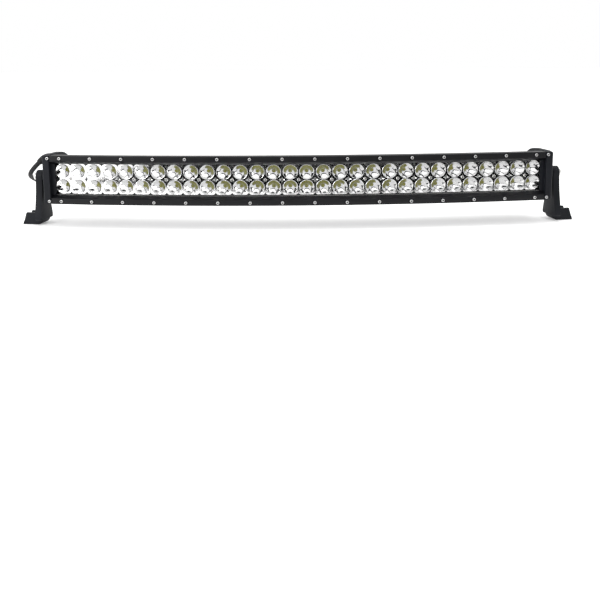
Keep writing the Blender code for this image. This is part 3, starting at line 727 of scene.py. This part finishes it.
def cap_outline(steps=18):
    """The cap's cross-section with its half-elliptical back, from the lower front corner round."""
    half = [(0.0, 36.3), (1.0, 38.0), (4.0, BAR_HALF_HEIGHT), (9, CAP_TOP)]
    for i in range(steps):
        turn = 0.5 * math.pi * i / steps
        reach = (CAP_BACK - CAP_BACK_CENTRE) * math.sin(turn)
        half.append((CAP_BACK_CENTRE + reach, CAP_TOP * math.cos(turn)))
    return [(d, -h) for d, h in half] + [(CAP_BACK, 0)] + half[::-1]


def shrunk(outline, inset):
    """An outline moved inwards by an inset. Its front corners move back at least a quarter of that."""
    count = len(outline)
    made = []
    for i in range(count):
        before = Vector(outline[i]) - Vector(outline[i - 1])
        after = Vector(outline[(i + 1) % count]) - Vector(outline[i])
        along = (before.normalized() + after.normalized()).normalized()
        inwards = Vector((-along.y, along.x))
        d, h = Vector(outline[i]) + inset * inwards
        made.append((max(d, 0.25 * inset) if outline[i][0] < 0.5 else d, h))
    return made


def make_end_cap(side):
    """The cast cap with its rounded outer edge, the tab beside the lens, the boss and the bores."""
    name = "left" if side < 0 else "right"
    outline = cap_outline()
    turn = place(side * CAP_START)
    levels = [(0.0, 0.35), (0.35, 0.0), (CAP_LENGTH - CAP_EDGE, 0.0)]
    for k in range(1, 7):
        angle = 0.5 * math.pi * k / 6
        levels.append((CAP_LENGTH - CAP_EDGE + CAP_EDGE * math.sin(angle), CAP_EDGE * (1 - math.cos(angle))))
    loops = []
    for x, inset in levels:
        ring = shrunk(outline, inset) if inset else outline
        loops.append([turn @ section(d, h, side * x) for d, h in ring])
    bm = bmesh.new()
    rings(bm, loops)
    cap = make(f"end_cap_{name}_cast", bm, cast, replaced=[f"end_cap_{name}"])

    def tab(bm):
        points = rounded(mirrored(list(TAB_OUTLINE)), 0.5, 3)
        start, end = side * TAB_START, side * (CAP_START + 2)
        sweep(bm, points, min(start, end), max(start, end), 1)

    def boss(bm):
        profile = [(-2, 12.6), (0.3, 12.6), (1.4, 11.0), (2.4, 10.5), (12.9, 10.5), (13.5, 9.9)]
        turned(bm, profile, outwards(side, 0), 48)

    def bores(bm):
        cylinder(bm, BOLT_BORE_RADIUS, 3.5, 20, outwards(side, 0), 24)
        for row in (-1, 1):
            at = on_front(side * CAP_SCREW_ARC, 0, row * SCREW_ROW_HEIGHT)
            turned(bm, [(-1.5, 2.95), (0.0, 2.95), (3, 5.0)], at, 28)
        if side < 0:
            cylinder(bm, 5.2, -6, 4, outwards(-1, 0, GLAND_BACK, GLAND_UP), 24)

    tools = [(joined_cutter(tab), "UNION"), (joined_cutter(boss), "UNION")]
    tools.append((joined_cutter(bores), "DIFFERENCE"))
    combine(cap, tools, 30)


# ---------------------------------------------------------------- brackets and bolts

def upright_outline():
    """The upright seen along its bolt: a round hub, a neck and a flared lower end."""
    floor = -PIVOT_HEIGHT
    half = [(18.5, floor + 7.5), (20.5, floor + 9.5), (20.3, floor + 14)]
    half += [(18.7, floor + 22), (15.6, floor + 36), (12.8, floor + 50), (11.2, -14)]
    for k in range(15):
        turn = math.radians(-18 + 108 * k / 14)
        half.append((10.8 * math.cos(turn), 10.8 * math.sin(turn)))
    half[-1] = (0.0, 10.8)
    return half + [(-e, z) for e, z in reversed(half[:-1])]


def base_outline():
    """The foot's base seen from the front, with a round heel that runs up into the upright."""
    floor = -PIVOT_HEIGHT
    inner = BRACKET_INNER + 0.1
    outline = []
    for k in range(9):
        turn = 0.5 * math.pi * k / 8
        outline.append((inner + 10 * (1 - math.cos(turn)), floor + 10 * (1 - math.sin(turn))))
    outline += [(50, floor), (48.6, floor + 5), (BRACKET_OUTER - 0.8, floor + 5)]
    return outline + [(BRACKET_OUTER - 0.8, floor + 16), (inner, floor + 16)]


def rib_outline():
    """A rib at the foot's front or rear edge, seen from the front."""
    floor = -PIVOT_HEIGHT
    inside = BRACKET_OUTER - 3
    return [(inside, floor + 2), (49.6, floor + 0.5), (43.5, floor + 19), (inside, floor + 19)]


def make_bracket(side):
    """A cast bracket: the upright, the foot with a rib at each edge, a shallow panel and the holes."""
    name = "left" if side < 0 else "right"
    body = f"{name}_bracket"
    frame_here = end_frame(side)

    def block(points, across, rides_on=None):
        """A slab drawn in the bracket's own axes, in millimetres."""
        bm = bmesh.new()
        slab(bm, [Vector(p) * MM for p in points], Vector(across) * MM)
        bmesh.ops.transform(bm, matrix=frame_here, verts=bm.verts)
        return make(f"bracket_{name}_cast", bm, cast, body=rides_on)

    def foot_block(outline, start, depth):
        return block([(out, start, up) for out, up in outline], (0, depth, 0))

    side_view = [(BRACKET_INNER, back, up) for back, up in upright_outline()]
    bracket = block(side_view, (BRACKET_OUTER - BRACKET_INNER, 0, 0), body)
    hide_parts(f"bracket_{name}")
    tools = [(foot_block(base_outline(), -FOOT_HALF_DEPTH, 2 * FOOT_HALF_DEPTH), "UNION")]
    for start in (-11.3, 7.3):
        tools.append((foot_block(rib_outline(), start, 4), "UNION"))

    def recess(bm):
        """The shallow panel in the upright's outer face."""
        floor = -PIVOT_HEIGHT
        panel = [(5.6, -15), (9.2, floor + 36), (11.5, floor + 24)]
        panel += [(-back, up) for back, up in reversed(panel)]
        face = BRACKET_OUTER - 1.6
        points = [frame_here @ (Vector((face, back, up)) * MM) for back, up in rounded(panel, 2, 4)]
        slab(bm, points, frame_here.to_3x3() @ (Vector((4, 0, 0)) * MM))

    def holes(bm):
        cylinder(bm, BOLT_BORE_RADIUS, BRACKET_INNER - 2, BRACKET_OUTER + 2, outwards(side, 0), 32)
        down = frame_here @ Matrix.Translation(Vector((FOOT_HOLE_OUT, 0, -PIVOT_HEIGHT)) * MM)
        cylinder(bm, 4.25, -2, 9, down, 32)

    tools.append((joined_cutter(recess), "DIFFERENCE"))
    combine(bracket, tools, 40)
    ease(bracket, 0.8)
    combine(bracket, [(joined_cutter(holes), "DIFFERENCE")], 40)


def washer(bm, at, base, bore, profile):
    """A washer from its (height above base, radius) profile, closed through its bore."""
    loop = [(base, bore)] + [(base + up, radius) for up, radius in profile]
    turned(bm, loop + [(loop[-1][0], bore), (base, bore)], at, 40, close=False)


def make_bolt(side):
    """A hexagon-head bolt with a plain washer and a lock washer under its head."""
    name = "left" if side < 0 else "right"
    at = outwards(side, 0)
    hexagon = polygon_radius(6, 5.0)
    start = BRACKET_OUTER + 1.9
    profile = [(3.0, 4.2 - start), (3.0, 0), (4.8, 0), (hexagon, 0.25), (hexagon, 3.4)]
    profile += [(lambda angle: min(hexagon(angle), 5.05), 3.95), (4.5, 4.15), (3.1, 4.2), (2.9, 3.95)]
    bm = bmesh.new()
    rings(bm, [circle(radius, start + up, 48, at) for radius, up in profile])
    bolt = f"pivot_bolt_{name}"
    make(f"{bolt}_hex", bm, steel, replaced=[bolt], sharp=25)
    bm = bmesh.new()
    base = BRACKET_OUTER + 0.15
    washer(bm, at, base, 3.4, [(0, 5.5), (0.15, 5.6), (0.6, 5.6), (0.7, 5.5)])
    washer(bm, at, base + 0.75, 3.4, [(0, 4.7), (0.9, 4.7)])
    make(f"pivot_washers_{name}", bm, zinc, replaced=[f"pivot_washer_{name}"])


# ---------------------------------------------------------------- gland, boot, plug

def tube_loops(line, radii, sides=28):
    """Loops round a line, each with its own radius, without twist."""
    loops = []
    across = Vector((0, 0, 1))
    for i, point in enumerate(line):
        ahead = line[min(i + 1, len(line) - 1)] - line[max(i - 1, 0)]
        ahead.normalize()
        across = (across - ahead * across.dot(ahead)).normalized()
        other = ahead.cross(across)
        ring = []
        for k in range(sides):
            angle = 2 * math.pi * k / sides
            ring.append(point + radii[i] * MM * (math.cos(angle) * across + math.sin(angle) * other))
        loops.append(ring)
    return loops


def make_gland():
    at = outwards(-1, 0, GLAND_BACK, GLAND_UP)
    bm = bmesh.new()
    hexagon = polygon_radius(6, 6.2)
    loops = [circle(r, z, 48, at) for z, r in ((0.1, 5.0), (0.1, 6.9))]
    loops += [circle(lambda a: min(hexagon(a), 7.0), z, 48, at) for z in (0.5, 3.9)]
    loops += [circle(6.1, 4.4, 48, at), circle(6.0, 4.7, 48, at)]
    rings(bm, loops)
    make("gland_nut", bm, nylon, replaced=["cable_gland"], sharp=25)


def make_boot():
    """A tapered strain relief with a few grooves, which droops with the cable."""
    line = smooth_line(BOOT_ROUTE, 10)
    last = len(line) - 1
    radii = []
    for i in range(last + 1):
        t = i / last
        radius = BOOT_RADIUS - BOOT_TAPER * t
        if 0.30 < t < 0.94 and (i // 2) % 3 == 0:
            radius -= BOOT_GROOVE_DEPTH
        radii.append(radius)
    radii[0] = 6.5
    radii[-1] = 4.1
    bm = bmesh.new()
    rings(bm, tube_loops(line, radii))
    name = "strain_relief_boot"
    return make(name, bm, rubber, replaced=["cable_boot"], sharp=35)


def knurled(outer):
    """The radius of a ring with 20 grooves, by angle."""
    return lambda angle: outer - 0.55 * (0.5 + 0.5 * math.cos(20 * angle)) ** 3


def make_plug():
    """A round waterproof plug: a ribbed grip, a knurled locking ring and a two-pin face."""
    start = Vector(CABLE_ROUTE[-1]) + Vector((0.0003, 0, 0))
    along = Matrix.Translation(start) @ Matrix.Rotation(math.radians(90), 4, "Y")
    bm = bmesh.new()
    profile = [(0, 3.9), (0, 4.5), (0.8, 4.8)]
    for k in range(5):
        base = 1.6 + 2.4 * k
        radius = 4.7 + 0.16 * k
        profile += [(base, radius), (base + 0.3, radius - 0.5)]
        profile += [(base + 1.0, radius - 0.5), (base + 1.3, radius)]
    profile += [(14.2, 5.6), (15.2, 6.6), (38, 6.6), (38.3, 6.2)]
    profile += [(43.4, 6.2), (44, 5.8), (44, 4.9), (37, 4.9)]
    turned(bm, profile, along, 48)
    body = make("plug_shell", bm, nylon, replaced=["plug_body"], sharp=30)
    bm = bmesh.new()
    profile = [(22, 6.9), (22, 7.6), (22.6, knurled(8.0)), (35.4, knurled(8.0))]
    profile += [(36, 7.6), (36, 6.9), (22, 6.9)]
    turned(bm, profile, along, 120, close=False)
    name = "plug_knurled_ring"
    ring = make(name, bm, rubber, replaced=["plug_lock_ring"], sharp=30)
    bm = bmesh.new()
    for side in (-1, 1):
        at = along @ Matrix.Translation(Vector((0, 2.1 * side, 0)) * MM)
        turned(bm, [(37, 0.9), (42.4, 0.9), (42.9, 0.5)], at, 16)
    pins = make("plug_pins", bm, copper)
    return [body, ring, pins]


# ---------------------------------------------------------------- building the object

make_housing()
make_bezel("top_bezel_front", 1)
make_bezel("bottom_bezel_front", -1)
make_front_screws()
make_lens()
make_reflectors()
make_leds()
for end in (-1, 1):
    make_end_cap(end)
    make_bracket(end)
    make_bolt(end)
make_gland()
boot = make_boot()
plug = make_plug()

cable_curve.materials.append(jacket)
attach(cable, BAR)
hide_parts("power_cable")

CAD_FINISHES = {
    "top_lens_seal": silicone,
    "bottom_lens_seal": silicone,
    "end_seal_left": silicone,
    "end_seal_right": silicone,
    "led_board_left": board,
    "led_board_centre": board,
    "led_board_right": board,
    "driver_board": laminate,
}
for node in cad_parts.values():
    finish = CAD_FINISHES.get(node.name, powder)
    node.data.materials.clear()
    node.data.materials.append(finish)


# ---------------------------------------------------------------- studio

def flat_card(name, centre, width, depth, finish):
    """A level rectangle that belongs to the studio."""
    bm = bmesh.new()
    bmesh.ops.create_grid(bm, x_segments=1, y_segments=1, size=0.5)
    bmesh.ops.scale(bm, vec=(width, depth, 1), verts=bm.verts)
    mesh = bpy.data.meshes.new(name)
    bm.to_mesh(mesh)
    bm.free()
    mesh.materials.append(finish)
    card = bpy.data.objects.new(name, mesh)
    card.location = centre
    bpy.context.scene.collection.objects.link(card)
    return card


def softbox(name, centre, aim, width, height, power):
    """A white rectangular lamp that faces a point."""
    lamp = bpy.data.lights.new(name, "AREA")
    lamp.shape = "RECTANGLE"
    lamp.size = width
    lamp.size_y = height
    lamp.energy = power
    holder = bpy.data.objects.new(name, lamp)
    holder.location = centre
    holder.rotation_euler = (Vector(aim) - Vector(centre)).to_track_quat("-Z", "Y").to_euler()
    bpy.context.scene.collection.objects.link(holder)


white, bright = (0.86, 0.86, 0.86, 1), (0.90, 0.90, 0.90, 1)
# The floor glows faintly though it is no lamp: painted light that lightens the bar's shadow on it.
glow = {"Emission_Color": (1, 1, 1, 1), "Emission_Strength": 0.25}
floor_paint = enamel("floor paint", white, bright, 0.6, 3, 0.0, **glow)
black, soot = (0.004, 0.004, 0.004, 1), (0.006, 0.006, 0.006, 1)
card_paint = enamel("black card", black, soot, 0.9, 30, 0.0, Specular_IOR_Level=0.0)
flat_card("floor", (0, 0, -0.0005), 30, 30, floor_paint)

# A dark card in front of the bar that only glossy rays see, so that the reflectors have dark parts.
card = flat_card("black_card", (0.40, -0.60, 0.004), 1.86, 0.60, card_paint)
card.rotation_euler.z = math.radians(6)
card.visible_camera = False
card.visible_diffuse = False
card.visible_shadow = False
card.visible_transmission = False

world = bpy.data.worlds.new("studio")
world.use_nodes = True
world.node_tree.nodes["Background"].inputs["Color"].default_value = (1, 1, 1, 1)
world.node_tree.nodes["Background"].inputs["Strength"].default_value = 1.0
bpy.context.scene.world = world
bpy.context.scene.view_settings.view_transform = "Standard"

softbox("overhead_softbox", (0.1, -0.1, 1.5), (0, 0, 0.08), 2.0, 0.9, 17)
softbox("left_softbox", (-1.5, -1.2, 0.8), (-0.25, 0, 0.08), 1.0, 1.0, 16)
